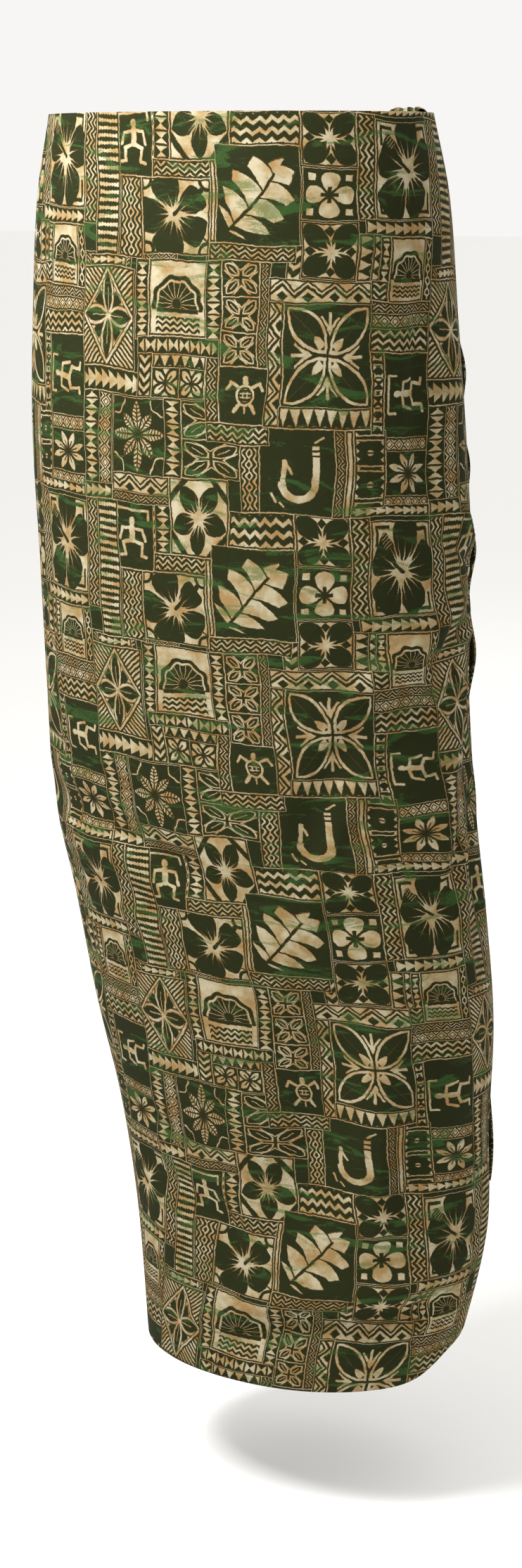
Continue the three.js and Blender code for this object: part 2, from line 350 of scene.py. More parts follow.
def fan_shell(x, y, size):
    """A ribbed fan shell over two rows of small waves, drawn dark on a printed ground."""
    x, y = x / (size * 0.047), y / (size * 0.047)
    down = y - 3.0
    spread = x.point(down).length()
    lean = down.math("ARCTAN2", x)
    scallop = (lean * 9.0).math("SINE") * 0.7
    fan = (14.0 - spread + scallop).least(3.0 - down)
    ribs = (lean.swing(math.pi / 18) * spread * 1.4 - 0.5).most(3.5 - spread)
    rim = (1.3 - abs(spread - 17.2 - scallop)).least(4.0 - down)
    foot = (1.3 - abs(down - 4.5)).least(15.5 - abs(x))
    waves = (0.9 - abs((y + x.swing(2.9) * 0.8).swing(4.0) - 2.0)).least(y - 12.0).least(22.0 - y)
    return -(fan.least(ribs).most(rim).most(foot).most(waves.least(16.0 - abs(x))))


def split_leaf(x, y, size):
    """A split leaf, its tip up to the right: an egg cut from both sides by slots that lean to the tip."""
    across, along = x * 0.78 + y * 0.62, x * 0.62 - y * 0.78
    side = abs(across)
    bend = along - side * 0.62 + side * side * 0.018 + across.math("SIGN") * 2.6
    slots = bend.swing(7.4) - 0.45 - (side - 5.0).most(0.0) * 0.17
    tips = (bend.math("FLOORED_MODULO", 14.8) - 7.4) * 0.5
    outline = 22.5 - (across / 23.5).point((along + 1.0) / 29.0).length() * 22.5 + tips
    rib = (side - 0.9).most(along - 19.0)
    return outline.least(slots).least(rib)


def quilt_star(x, y, size):
    """A star of four long and four short leaves in outline inside a diamond line, with striped corners."""
    wide, high = abs(x) / 24.0, abs(y) / 34.0
    slope = wide + high - 1.0
    longer, shorter = wide.most(high), wide.least(high)
    arm = (shorter - longer * (1.0 - longer) * 0.80) * 22.0
    star = (1.0 - abs(arm)).most(2.6 - x.point(y).length())
    rib = (0.45 - shorter * 24.0).least((0.62 - longer) * 24.0)
    leaf = (0.36 - abs(wide - high)).least(1.0 - abs(slope + 0.36) * 3.4) * 11.0
    leaf_ring = (1.0 - abs(leaf - 0.8)).least(arm - 1.4)
    ground = (arm - 2.2).least(-slope * 19.0 - 6.0).least(-leaf - 0.8)
    diamond = 1.1 - abs(slope * 19.0)
    hatch = ((abs(x) - abs(y)).swing(2.3) * 0.9 - 0.85).least(slope * 19.0 - 2.2)
    inside = star.most(rib).most(leaf_ring).most(ground).least(-slope * 19.0 - 1.4)
    return inside.most(diamond).most(hatch)


# Flowers. Each takes the distance from its middle in half blocks, the direction in radians, the longer and
# the shorter of the two distances from its axes, the place and the size of half a block in millimetres.

petal_parting = 0.8


def petals(reach, bearing, count, first, length, width, tip, size):
    """A ring of petals. At the share t of its length a petal is width t (1 - t) ** tip wide on each side,
    and a thin line parts it from the next."""
    off = (bearing - math.radians(first)).swing(math.pi / count)
    along, aside = reach * off.math("COSINE") / length, reach * off.math("SINE")
    petal = (along * width * (1.0 - along).most(0.0) ** tip - aside) * size
    parting = reach * (math.pi / count - off).math("SINE") * size - petal_parting
    return petal.least(parting)


def rays(reach, bearing, count, first, length, width, size):
    """A ring of straight rays that narrow to points."""
    off = (bearing - math.radians(first)).swing(math.pi / count)
    return ((1.0 - reach / length) * width - reach * off.math("SINE")) * size


def hibiscus(reach, bearing, longer, shorter, x, y, size):
    """Five broad dark petals with frilled edges on a printed ground, veins from the throat and a stamen."""
    uneven = reach * ((bearing * 2.0 + 0.6).math("SINE") * 0.09 + 1.0)
    frill = (bearing * 15.0 + 0.5).math("SINE") * reach * 0.9
    petal = petals(uneven, bearing, 5, -84, 1.10, 0.96, 0.34, size) + frill
    veins = rays(reach, bearing, 15, -84, 0.74, 0.045, size).least(reach * size - 5.0)
    throat = rays(uneven, bearing, 5, -120, 0.46, 0.22, size)
    place = x.point(y)
    stamen = strokes(place, [((1.0, 1.0), (-9.0, -8.0), 1.2), ((-9.0, -8.0), (-13.0, -17.0), 1.1)])
    bud = stroke(place, (-13.5, -18.5), (-16.0, -24.0), 2.3)
    stamen, pollen = stamen.most(bud), (bud + 1.1).least(0.5 - (x + y).swing(1.5))
    dashes = (1.0 - abs(longer - 0.9) * size).least((shorter - 0.50) * size).least((0.92 - shorter) * size)
    return (-petal).most(veins).most(throat).least(-stamen).most(pollen).least(-dashes)


def rough_hibiscus(reach, bearing, longer, shorter, x, y, size):
    """A looser hibiscus with its stamen to the upper right and curved lines in the corners."""
    uneven = reach * ((bearing + 1.9).math("SINE") * 0.12 + 1.0)
    frill = (bearing * 11.0).math("SINE") * reach * 1.2
    petal = petals(uneven, bearing, 5, -110, 1.14, 0.98, 0.36, size) + frill
    veins = rays(reach, bearing, 15, -110, 0.62, 0.05, size).least(reach * size - 4.0)
    throat = rays(reach, bearing, 5, -74, 0.52, 0.17, size)
    stamen = strokes(x.point(y), [((0.0, 0.0), (9.0, -10.0), 1.2), ((9.0, -10.0), (15.0, -13.0), 1.1),
                                  ((15.0, -13.0), (20.0, -19.0), 1.9)])
    corner = (1.0 - longer).point(1.0 - shorter).length()
    curves = 1.1 - abs(corner - 0.25) * size
    return (-petal).most(veins).most(throat).least(-stamen).least(-curves)


def corner_petals(reach, bearing, longer, shorter, x, y, size):
    """Four dark leaves to the corners of a printed ground, rays between them and small dark diamonds."""
    petal = petals(reach, bearing, 4, 45, 1.36, 1.34, 0.7, size)
    diamonds = (0.19 - abs(longer - 0.80) * 0.9 - shorter) * size
    burst = rays(reach, bearing, 8, 22, 0.50, 0.13, size)
    return (-petal).least(-diamonds).most(burst)


def round_petals(reach, bearing, longer, shorter, x, y, size):
    """Four round printed petals along the axes and small squares in the corners."""
    petal = petals(reach, bearing, 4, 0, 0.98, 0.96, 0.42, size)
    squares = (0.15 - abs(longer - 0.76).most(abs(shorter - 0.76))) * size
    drop = (0.36 - reach) * size * 0.9
    hole = (0.075 - shorter) * size
    return petal.least(-drop.least(hole)).least(reach * size - 1.8).most(squares)


def drawn_leaves(reach, bearing, longer, shorter, x, y, size):
    """Four large leaves to the corners in outline, a small leaf in each, and three-pronged fans between."""
    petal = petals(reach, bearing, 4, 45, 1.38, 1.22, 0.86, size)
    outline = 1.35 - abs(petal - 1.35)
    inner = petals(reach, bearing, 4, 45, 0.52, 0.34, 0.8, size).least((reach - 0.20) * size)
    prongs = 1.35 - shorter.least(abs(shorter - (longer - 0.50) * 0.85) * 0.76) * size
    fans = prongs.least((longer - 0.50) * size).least((0.88 - longer - shorter * 0.4) * size)
    bud = (0.09 - abs(longer - 0.52) * 0.6 - shorter) * size
    return outline.most(inner).most(fans.most(bud).least(-petal - 0.9))


def crossed_leaves(reach, bearing, longer, shorter, x, y, size):
    """Four leaves to the corners in outline, each with a rib, and drawn triangles on each side's middle."""
    petal = petals(reach, bearing, 4, 45, 1.38, 1.22, 0.8, size)
    outline = 0.8 - abs(petal - 0.8)
    rib = (0.55 - (longer - shorter) * size * 0.7).least((reach - 0.35) * size).least((1.0 - reach) * size)
    sides = (longer - shorter - 0.42) * size * 0.7
    return outline.most(rib).most(0.7 - abs(sides - 0.7))


def ribbed_cross(reach, bearing, longer, shorter, x, y, size):
    """Four printed leaves to the corners, each with a dark rib, and small triangles between them."""
    petal = petals(reach, bearing, 4, 45, 1.25, 0.95, 0.7, size)
    rib = (longer - shorter) * size * 0.7 - 0.45
    sides = (longer - shorter * 1.4 - 0.62) * size * 0.7
    return petal.least(rib.most((reach - 0.75) * size)).most(sides)


def eight_leaves(reach, bearing, longer, shorter, x, y, size):
    """Eight slim printed leaves with dark ribs round a middle, and a waved line across each corner."""
    uneven = reach * ((bearing * 4.0).math("COSINE") * -0.09 + 1.0)
    petal = petals(uneven, bearing, 8, 0, 0.92, 0.62, 0.9, size)
    rib = reach * bearing.swing(math.pi / 8).math("SINE") * size - 0.45
    ticks = (reach * size - bearing.swing(math.pi / 8) * 9.0).swing(1.5) - 0.4
    corner = (1.0 - longer).point(1.0 - shorter).length()
    lines = 0.75 - abs(corner - 0.44 + (bearing * 16.0).math("SINE") * 0.03) * size
    leaf = petal.least(rib.most((reach - 0.85) * size)).least(ticks.most((0.35 - reach) * size))
    return leaf.least(reach * size - 1.3).most(lines)


def small_star(reach, bearing, longer, shorter, x, y, size):
    """Eight narrow printed petals with dark ribs."""
    petal = petals(reach, bearing, 8, 22, 1.05, 0.60, 0.8, size)
    rib = reach * (bearing - math.radians(22)).swing(math.pi / 8).math("SINE") * size - 0.35
    return petal.least(rib.most((reach - 0.6) * size)).least(reach * size - 1.2)


def pointed_petals(reach, bearing, longer, shorter, x, y, size):
    """Five pointed dark petals on a printed ground with fine rays, and a drawn triangle in each corner."""
    petal = petals(reach, bearing, 5, 90, 1.04, 1.00, 0.8, size)
    veins = rays(reach, bearing, 15, 90, 0.6, 0.050, size).least(reach * size - 3.0)
    throat = rays(reach, bearing, 5, 54, 0.42, 0.16, size)
    corner = (longer * 0.5 + shorter * 0.5 - 0.66) * size
    return (-petal).least(abs(corner - 2.4) - 1.4).most(veins).most(throat)


BANDS = [zigzag, chain, lozenges, arrows, teeth, hourglasses, comb, ripples, ladder, hatching, bar]
FLOWERS = [hibiscus, rough_hibiscus, corner_petals, round_petals, drawn_leaves, crossed_leaves, ribbed_cross,
           eight_leaves, small_star, pointed_petals]
PICTURES = [standing_figure, turtle, fish_hook, fan_shell, split_leaf, quilt_star]
MOTIFS = BANDS + FLOWERS + PICTURES

# One repeat of the print in millimetres: each block's span along the cloth, its span down it, its motif, and
# whether the motif is turned to run down the cloth. A later block lies over an earlier one. A printed line
# borders each block, then a bare rim.
repeat_low, repeat_high = (-133.0, -1.0), (153.0, 285.0)
border_line, bare_rim, motif_margin = 0.6, 1.5, 2.0
blocks = [
    (-133, -86, 104, 114, zigzag, 0), (-104, -60, -8, 49, hatching, 1), (-24, -17, 93, 108, hatching, 1),
    (86, 153, 266, 278, lozenges, 0), (-76, -48, 101, 108, zigzag, 0), (34, 46, 93, 119, zigzag, 0),
    (100, 153, 2, 73.5, hibiscus, 0), (45, 86, -2, 36, corner_petals, 0),
    (45, 86, 77, 116, corner_petals, 0), (45, 86, 37, 76, round_petals, 0),
    (-52, -5, -24, 35, pointed_petals, 0), (-52, -5, 262, 321, pointed_petals, 0),
    (-77, -22, 48, 103, rough_hibiscus, 0), (-103, -56, 206, 264, eight_leaves, 0),
    (111, 153, 237, 270, small_star, 0), (-67, -44.5, 183, 205, ribbed_cross, 0),
    (-44.5, -22, 183, 205, ribbed_cross, 0), (-11, 15, 106, 131, crossed_leaves, 0),
    (-11, 15, 131, 156, crossed_leaves, 0), (-11, 15, 156, 180, crossed_leaves, 0),
    (-42, 5, 206, 234, crossed_leaves, 0), (-42, 5, 234, 262, crossed_leaves, 0),
    (34, 99, 133, 208, drawn_leaves, 0), (-134, -83, 114, 187, quilt_star, 0),
    (-17, 44, 24, 94, split_leaf, 0), (-12, 26, 180, 221, turtle, 0),
    (-103, -67, -4, 48, standing_figure, 0), (109, 153, 167, 228, standing_figure, 1),
    (-71, -22, 106, 163, fan_shell, 0), (111, 145, 86, 131, fan_shell, 0), (20, 73, 222, 285, fish_hook, 0),
    (-5, 45, -1, 24, zigzag, 0), (-67, -17, 35, 48, zigzag, 0), (-22, 41, 94, 106, zigzag, 0),
    (98, 153, 131, 140, zigzag, 0), (98, 153, 149, 167, zigzag, 0), (-22, 27, 221, 235, zigzag, 0),
    (-133, -120, -1, 84, zigzag, 1), (86, 100, -1, 76, zigzag, 1), (73, 81, 222, 285, zigzag, 1),
    (15, 23, 106, 180, zigzag, 1), (-22, -12, 174, 221, zigzag, 1), (98, 153, 139, 150, chain, 0),
    (110, 153, 227, 238, chain, 0), (110, 153, 269, 279, chain, 0), (-118, -104, 205, 274, chain, 1),
    (22, 99, 117, 134, lozenges, 0), (-103, -52, 263, 278, lozenges, 0), (22, 34, 133, 222, lozenges, 1),
    (91, 153, 74, 86, arrows, 0), (86, 153, 276, 285, arrows, 0), (-134, -79, 187, 205, arrows, 0),
    (-127, -90, 106, 114, arrows, 0), (86, 98, 85, 117, teeth, 1), (97, 104, 85, 117, teeth, 1),
    (33, 99, 207, 222, teeth, 0), (-67, -22, 174, 184, teeth, 0), (-57, -42, 205, 263, hourglasses, 1),
    (103, 111, 86, 131, hourglasses, 1), (-82, -71, 106, 165, hourglasses, 1),
    (-23, -11, 106, 165, hourglasses, 1), (-80, -12, 163, 175, hourglasses, 0),
    (-134, -117, 205, 274, hourglasses, 1), (-66, -52, -2, 35, hourglasses, 1),
    (-120, -98, -1, 106, comb, 1), (-97, -77, 48, 106, ripples, 1), (5, 20, 235, 285, ripples, 1),
    (145, 153, 86, 131, ripples, 1), (87, 111, 222, 278, ladder, 1), (99, 109, 167, 226, ladder, 1),
    (81, 87, 222, 285, bar, 1), (-22, -17, 35, 94, bar, 1), (-80, -67, 174, 205, hatching, 1),
    (-133, -103, 273, 285, arrows, 0), (-103, -52, 277, 285, zigzag, 0), (98, 111, 116, 131, zigzag, 0),
]


def print_height(place):
    """The height of the whole print, in millimetres above its edges, at a place on the cloth in millimetres.

    The last block that holds the place is kept as one vector, which spares the shader a few hundred nodes:
    its low corner in whole millimetres, each with a hundredth of its half size as the fraction, and its
    motif's number with a half more where it is turned."""
    here = place.vector("WRAP", (*repeat_high, 1.0), (*repeat_low, -1.0))
    here_u, here_v, _ = here.parts()
    kept = (0.0, 0.0, -1.0)
    for low_u, high_u, low_v, high_v, motif, turned in blocks:
        half_wide, half_high = (high_u - low_u) / 2, (high_v - low_v) / 2
        in_u = here_u.math("COMPARE", low_u + half_wide, half_wide)
        in_v = here_v.math("COMPARE", low_v + half_high, half_high)
        row = (math.floor(low_u) + half_wide / 100, math.floor(low_v) + half_high / 100,
               MOTIFS.index(motif) + turned / 2)
        kept = (in_u * in_v).blend(kept, row, "VECTOR")
    low = kept.vector("FLOOR")
    half_wide, half_high, turned = kept.vector("FRACTION").vector("MULTIPLY", (100.0, 100.0, 2.0)).parts()
    code = low.parts()[2]
    x, y, _ = here.vector("SUBTRACT", low).vector("SUBTRACT", half_wide.point(half_high)).parts()
    edge = (half_wide - abs(x)).least(half_high - abs(y))
    along, across = turned.blend(x, y), turned.blend(y, x)
    half = turned.blend(half_high, half_wide)
    height = code.math("COMPARE", -1.0, 0.5) * -1.0
    for motif in BANDS:
        chosen = code.math("COMPARE", float(MOTIFS.index(motif)), 0.5)
        height = chosen.times_plus(motif(along, across, half), height)
    size = (half_wide + half_high) * 0.5 - motif_margin
    share_x, share_y = x / (half_wide - motif_margin), y / (half_high - motif_margin)
    reach, bearing = share_x.point(share_y).length(), share_y.math("ARCTAN2", share_x)
    longer, shorter = abs(share_x).most(abs(share_y)), abs(share_x).least(abs(share_y))
    for motif in FLOWERS:
        chosen = code.math("COMPARE", float(MOTIFS.index(motif)), 0.5)
        height = chosen.times_plus(motif(reach, bearing, longer, shorter, x, y, size), height)
    for motif in PICTURES:
        chosen = code.math("COMPARE", float(MOTIFS.index(motif)), 0.5)
        drawn = motif(x, y, turned) if motif is standing_figure else motif(x, y, size)
        height = chosen.times_plus(drawn, height)
    return height.least(edge - bare_rim).most(border_line - abs(edge))


block_print = bpy.data.node_groups.new("block_print", "ShaderNodeTree")
block_print.interface.new_socket("Place", in_out="INPUT", socket_type="NodeSocketVector")
block_print.interface.new_socket("Height", in_out="OUTPUT", socket_type="NodeSocketFloat")
place_in, height_out = block_print.nodes.new("NodeGroupInput"), block_print.nodes.new("NodeGroupOutput")
block_print.links.new(print_height(Tone(place_in.outputs[0])).socket, height_out.inputs[0])


# The print wanders by up to half of each reach, in millimetres: broadly, as the cloth was laid, and finely,
# as the block's edge took the ink. A span is where a colour goes from none to full.
wander_reach, tremble_reach = 4.6, 1.3
bare_bias = 0.26
ink_span, edge_span, wash_span = (-0.16, 0.20), (-0.60, -0.16), (0.55, 0.66)
thread_width = 0.5
weave_depth, crease_depth, relief_strength = 0.06, 1.6, 0.8


def printed_cloth(name, ground, tans, brown, greens):
    """The print's material. Noise wanders the blocks a little, mottles the tan and brushes green washes."""
    made = bpy.data.materials.new(name)
    made.use_nodes = True
    shader = made.node_tree.nodes["Principled BSDF"]
    start = Tone(shader.outputs[0])
    cloth = start.node("UVMap", {"uv_map": "cloth"}).vector("MULTIPLY", (1000.0, 1000.0, 0.0))
    wander = start.node("TexNoise", {"noise_dimensions": "2D"},
                        {"Vector": cloth, "Scale": 0.026, "Detail": 0.0}, "Color")
    tremble = start.node("TexNoise", {"noise_dimensions": "2D"},
                         {"Vector": cloth, "Scale": 0.21, "Detail": 1.0}, "Color")
    place = wander.vector("MULTIPLY_ADD", (wander_reach, wander_reach, 0.0), cloth)
    place = tremble.vector("MULTIPLY_ADD", (tremble_reach, tremble_reach, 0.0), place)
    half_reach = (wander_reach + tremble_reach) / 2
    place = place.vector("SUBTRACT", (half_reach, half_reach, 0.0))
    height = start.node("Group", {"node_tree": block_print}, {"Place": place})
    mottle = start.node("TexNoise", {"noise_dimensions": "2D"},
                        {"Vector": cloth, "Scale": 0.055, "Detail": 3.0, "Roughness": 0.6})
    grit = start.node("TexNoise", {"noise_dimensions": "2D"},
                      {"Vector": cloth, "Scale": 0.9, "Detail": 2.0, "Roughness": 0.7})
    brushed = cloth.vector("MULTIPLY", (0.022, 0.085, 0.0))
    streak = start.node("TexNoise", {"noise_dimensions": "2D"},
                        {"Vector": brushed, "Scale": 1.0, "Detail": 4.0, "Roughness": 0.65,
                         "Distortion": 0.6})
    worn = (grit - 0.5) * 0.7 + height - bare_bias
    inked = worn.soften(*ink_span)
    edged = worn.soften(*edge_span)
    dark = edged.blend((*ground, 1.0), (*brown, 1.0), "RGBA")
    stops = list(zip((0.34, 0.50, 0.66), tans))
    tan = mottle.node("ValToRGB", {"stops": stops}, {0: mottle})
    wash = (streak + (grit - 0.5) * 0.22).soften(*wash_span)
    dark = (wash * (1.0 - edged * 0.6)).blend(dark, (*greens[0], 1.0), "RGBA")
    tan = (wash * 0.75).blend(tan, (*greens[1], 1.0), "RGBA")
    colour = inked.blend(dark, tan, "RGBA")
    shader.inputs["Roughness"].default_value = 0.82
    shader.inputs["Specular IOR Level"].default_value = 0.04
    made.node_tree.links.new(colour.socket, shader.inputs["Base Color"])
    u, v, _ = cloth.parts()
    weave = (u * (math.pi / thread_width)).math("SINE") * (v * (math.pi / thread_width)).math("SINE")
    crease = start.node("TexNoise", {"noise_dimensions": "2D"},
                        {"Vector": cloth, "Scale": 0.03, "Detail": 3.0, "Distortion": 1.2})
    relief = weave * weave_depth + crease * crease_depth
    bumped = start.node("Bump", None, {"Height": relief, "Strength": relief_strength, "Distance": 0.001})
    made.node_tree.links.new(bumped.socket, shader.inputs["Normal"])
    return made


ground_green = linear(34, 37, 18)
tan_inks = (linear(162, 153, 127), linear(148, 133, 100), linear(138, 111, 71))
brown_edge = linear(76, 57, 30)
brushed_greens = (linear(44, 66, 32), linear(86, 98, 56))
right_side = printed_cloth("printed_cotton", ground_green, tan_inks, brown_edge, brushed_greens)

# The wrong side of the cloth, where the dyes show through duller and closer to each other.
dull_green = linear(44, 50, 30)
dull_inks = (linear(100, 97, 70), linear(92, 88, 62), linear(86, 80, 55))
dull_brown = linear(60, 58, 36)
dull_washes = (linear(46, 70, 38), linear(70, 86, 50))
wrong_side = printed_cloth("cotton_wrong_side", dull_green, dull_inks, dull_brown, dull_washes)

# The worn cloth: one length of cotton wound round the hips from the middle of the back, over the wearer's
# left, the front and the right, and on over its own start to the left back. It hangs from the waist, and the
# free end's pull puts drag folds into it.

# Sizes here are in millimetres and angles in degrees, 0 at the front and 90 at the wearer's left. Angles
# fall along the winding, so -234 lies over 126.
wall = 2.0
layer_gap = 1.0
seam_gap = 0.3
mm_per_degree = 2.6
cloth_thickness = 0.6
start_angle, free_angle = 264.0, -234.0

# Level sections through the worn skirt: depth below the waist, centre x and y, half width, half depth and
# the exponent of the superellipse.
sections = np.array([
    (0, 0, 0, 153, 110, 2.05), (60, 2, -1, 165, 117, 2.05), (150, 3, 0, 171, 121, 2.1),
    (240, 5, 2, 176, 124, 2.1), (340, 9, 5, 177, 124, 2.1), (440, 9, 9, 175, 120, 2.15),
    (530, 11, 16, 177, 118, 2.15), (610, 19, 27, 174, 115, 2.15), (700, 26, 38, 170, 112, 2.15),
    (790, 32, 46, 158, 107, 2.15), (880, 37, 50, 151, 104, 2.15), (995, 29, 49, 133, 100, 2.1),
])

# The hem's height round the body, before the free end pulls it up: angle and height.
hem_line = np.array([
    (-180, -983), (-120, -985), (-60, -990), (0, -991), (45, -989), (68, -985), (88, -968), (115, -960),
    (150, -968), (180, -983),
])
peek = {"from": -66.0, "over": 30.0, "rise": 6.0}
pull = {"from": -96.0, "over": 138.0, "rise": 106.0}
climb = {"from": -66.0, "over": 27.0}

# The main folds: half width, height (below zero for a trough), and a path of (angle, height) points.
folds = [
    (15, -7, [(80, -95), (77, -165), (75, -250), (72, -335)]),                # left hip trough
    (17, 4, [(97, -120), (94, -200), (93, -270), (98, -340)]),                # left hip ridge
    (17, -8, [(112, -330), (107, -352), (114, -372)]),                        # pinch hollow
    (13, 5, [(106, -340), (86, -362), (64, -392), (44, -450)]),               # pinch to front
    (13, -5, [(106, -356), (86, -392), (66, -436), (50, -500)]),              # under pinch to front
    (15, 5, [(108, -360), (92, -430), (80, -510), (74, -600)]),               # pinch to knee
    (15, -6, [(112, -360), (102, -450), (97, -560), (93, -680)]),             # pinch to calf
    (17, -6, [(-76, -520), (-23, -530), (-4, -559), (10, -584), (26, -606)]),  # right drag
    (16, 4, [(-60, -556), (-20, -562), (0, -592), (16, -622)]),               # right drag lip
    (14, -5, [(28, -594), (42, -594), (58, -587)]),                           # knee crease
    (16, -6, [(56, -430), (44, -456), (35, -510), (25, -575)]),               # thigh drag
    (34, -15, [(38, -612), (31, -673), (26, -738), (20, -812), (15, -900)]),  # between the legs
    (26, 5, [(52, -640), (46, -720), (40, -800), (36, -880)]),                # left shin ridge
    (20, -8, [(72, -640), (66, -690), (59, -762), (50, -860)]),               # left calf trough
    (17, -5, [(-50, -815), (-34, -830), (-11, -851), (8, -888)]),             # right shin drag
    (15, 6, [(-22, -926), (-2, -930), (20, -908), (42, -906), (66, -892), (92, -884)]),    # ankle roll
    (11, -8, [(-18, -952), (-3, -952), (19, -932), (40, -931), (62, -921), (92, -906)]),   # ankle crease
    (18, -5, [(-84, -110), (-98, -230), (-118, -340), (-150, -440)]),         # right hip drag
    (24, -9, [(-84, -640), (-92, -740), (-99, -850), (-104, -960)]),          # right calf trough
    (22, 5, [(-118, -520), (-116, -660), (-120, -800)]),                      # right side ridge
    (18, -5, [(140, -20), (166, -100), (198, -190), (236, -280)]),            # tuck drag high
    (18, -6, [(136, -70), (156, -190), (184, -330), (220, -450)]),            # tuck drag middle
    (16, -5, [(133, -150), (146, -290), (160, -420), (176, -540)]),           # tuck drag steep
    (16, -7, [(146, -590), (170, -612), (202, -616), (232, -598)]),           # back of knee crease
    (16, 5, [(150, -622), (176, -646), (206, -648), (236, -628)]),            # back of knee roll
    (34, -13, [(196, -670), (192, -760), (188, -870), (185, -1010)]),         # back trough
    (18, -6, [(146, -640), (142, -760), (136, -880), (132, -980)]),           # left back trough
]

# Small creases between the main folds, by the same rule: too slight to move the form, but they catch light.
creases = [
    (7, -3.7, [(120, -340), (104, -330), (88, -312), (74, -300)]),            # pinch, upwards
    (7, 3.4, [(120, -322), (106, -310), (92, -290), (80, -276)]),             # above it
    (6, -3.4, [(118, -372), (104, -392), (92, -424), (84, -462)]),            # pinch, down
    (6, 3.7, [(114, -366), (96, -384), (78, -408), (62, -440)]),              # pinch to front lip
    (6, -3.1, [(110, -396), (102, -430), (97, -474)]),                        # pinch, steep
    (8, 3.4, [(102, -470), (92, -520), (86, -580), (82, -640)]),              # calf ridge
    (7, -3.1, [(96, -500), (84, -548), (72, -588), (60, -616)]),              # towards the knee
    (7, -2.8, [(72, -470), (58, -486), (44, -530), (34, -590)]),              # thigh drag, second
    (7, 2.8, [(64, -380), (48, -420), (36, -470)]),                           # thigh drag, first
    (8, -2.8, [(-66, -470), (-40, -484), (-16, -504), (2, -530)]),            # right drag, high
    (8, 2.8, [(-50, -600), (-22, -606), (4, -626), (22, -652)]),              # right drag, low
    (7, -3.1, [(8, -640), (16, -690), (12, -744)]),                           # beside the legs
    (7, 3.1, [(48, -760), (43, -820), (40, -880)]),                           # shin
    (7, -2.8, [(-44, -760), (-28, -782), (-8, -806), (6, -838)]),             # right shin, high
    (6, -3.4, [(14, -960), (38, -958), (60, -950), (84, -934)]),              # hem, under the roll
    (6, 2.8, [(-30, -944), (-10, -946), (8, -940)]),                          # hem, right
    (6, -3.1, [(70, -862), (84, -872), (98, -868)]),                          # above the ankle
    (8, 2.8, [(-100, -180), (-112, -280), (-128, -360)]),                     # right hip
    (8, -2.8, [(130, -60), (146, -150), (166, -240), (188, -320)]),           # back, under the tuck
    (8, 2.8, [(150, -260), (168, -360), (190, -450)]),                        # back, middle
    (8, -2.8, [(164, -560), (190, -570), (216, -560)]),                       # back of knee
    (8, 2.8, [(-140, -700), (-136, -790), (-132, -880)]),                     # right back calf
]

# Ridges of the outer layer alone, which fan out from the tuck.
loose_folds = [
    (14, 4, [(-226, -26), (-206, -52), (-178, -96), (-150, -150)]),
    (15, 5, [(-229, -40), (-212, -130), (-192, -240), (-170, -350)]),
    (15, 4, [(-228, -300), (-216, -420), (-204, -560), (-196, -700)]),
]

# The ruffles of the free edge: height, half height and how far each stands out.
ruffles = [(-118, 20, 2), (-190, 24, 6), (-262, 22, 5), (-326, 24, 7), (-410, 30, 8), (-520, 40, 4),
           (-640, 40, 3), (-815, 52, 7)]
ruffle_reach = 26.0


def smooth(share):
    """An even rise from 0 to 1 that starts and ends level."""
    share = np.clip(share, 0.0, 1.0)
    return share ** 2 * (3 - 2 * share)


def cubic_at(table, column, place):
    """A smooth curve through a table: cubic between two rows, each row's slope joining its neighbours."""
    key, value = table[:, 0].astype(float), table[:, column].astype(float)
    row = np.arange(len(key))
    low, high = np.maximum(row - 1, 0), np.minimum(row + 1, len(key) - 1)
    slope = (value[high] - value[low]) / (key[high] - key[low])
    i = np.clip(np.searchsorted(key, place, side="right") - 1, 0, len(key) - 2)
    span = key[i + 1] - key[i]
    t = (place - key[i]) / span
    rest = 1 - t
    return ((1 + 2 * t) * rest ** 2 * value[i] + t * rest ** 2 * span * slope[i]
            + t ** 2 * (3 - 2 * t) * value[i + 1] - t ** 2 * rest * span * slope[i + 1])


def wrapped(angle):
    """The same direction between -180 and 180 degrees."""
    return angle - 360 * np.round(angle / 360)


def body_point(angle, z):
    """A point of the smooth form: a superellipse whose centre, halves and exponent follow the sections."""
    x, y, half_width, half_depth, square = (cubic_at(sections, column, -z) for column in range(1, 6))
    side, front = np.sin(np.radians(angle)), np.cos(np.radians(angle))
    return (x + half_width * np.sign(side) * np.abs(side) ** (2 / square),
            y - half_depth * np.sign(front) * np.abs(front) ** (2 / square))


def point_out(angle, z, out):
    """The point that stands out from the smooth form by a distance, level and square to it."""
    x, y = body_point(angle, z)
    x1, y1 = body_point(angle - 0.5, z)
    x2, y2 = body_point(angle + 0.5, z)
    length = np.hypot(x2 - x1, y2 - y1)
    return np.stack([x + out * (y2 - y1) / length, y - out * (x2 - x1) / length, z], axis=-1)


def fold_height(table, angle, z):
    """The height of a table of folds: a bell across each path, fading over the last thirds of its length."""
    height = np.zeros(np.broadcast(angle, z).shape)
    for half, rise, path in table:
        lengths = [math.hypot((b[0] - a[0]) * mm_per_degree, b[1] - a[1]) for a, b in zip(path, path[1:])]
        nearest = np.full(height.shape, np.inf)
        along = np.zeros(height.shape)
        passed = 0.0
        for (start, end), length in zip(zip(path, path[1:]), lengths):
            run_x, run_z = (end[0] - start[0]) * mm_per_degree, end[1] - start[1]
            to_x, to_z = wrapped(angle - start[0]) * mm_per_degree, z - start[1]
            share = np.clip((to_x * run_x + to_z * run_z) / length ** 2, 0.0, 1.0)
            distance = np.hypot(to_x - share * run_x, to_z - share * run_z)
            along = np.where(distance < nearest, (passed + share * length) / sum(lengths), along)
            nearest = np.minimum(nearest, distance)
            passed += length
        height += rise * np.exp(-(nearest / half) ** 2) * smooth(np.minimum(along, 1 - along) / 0.3)
    return height


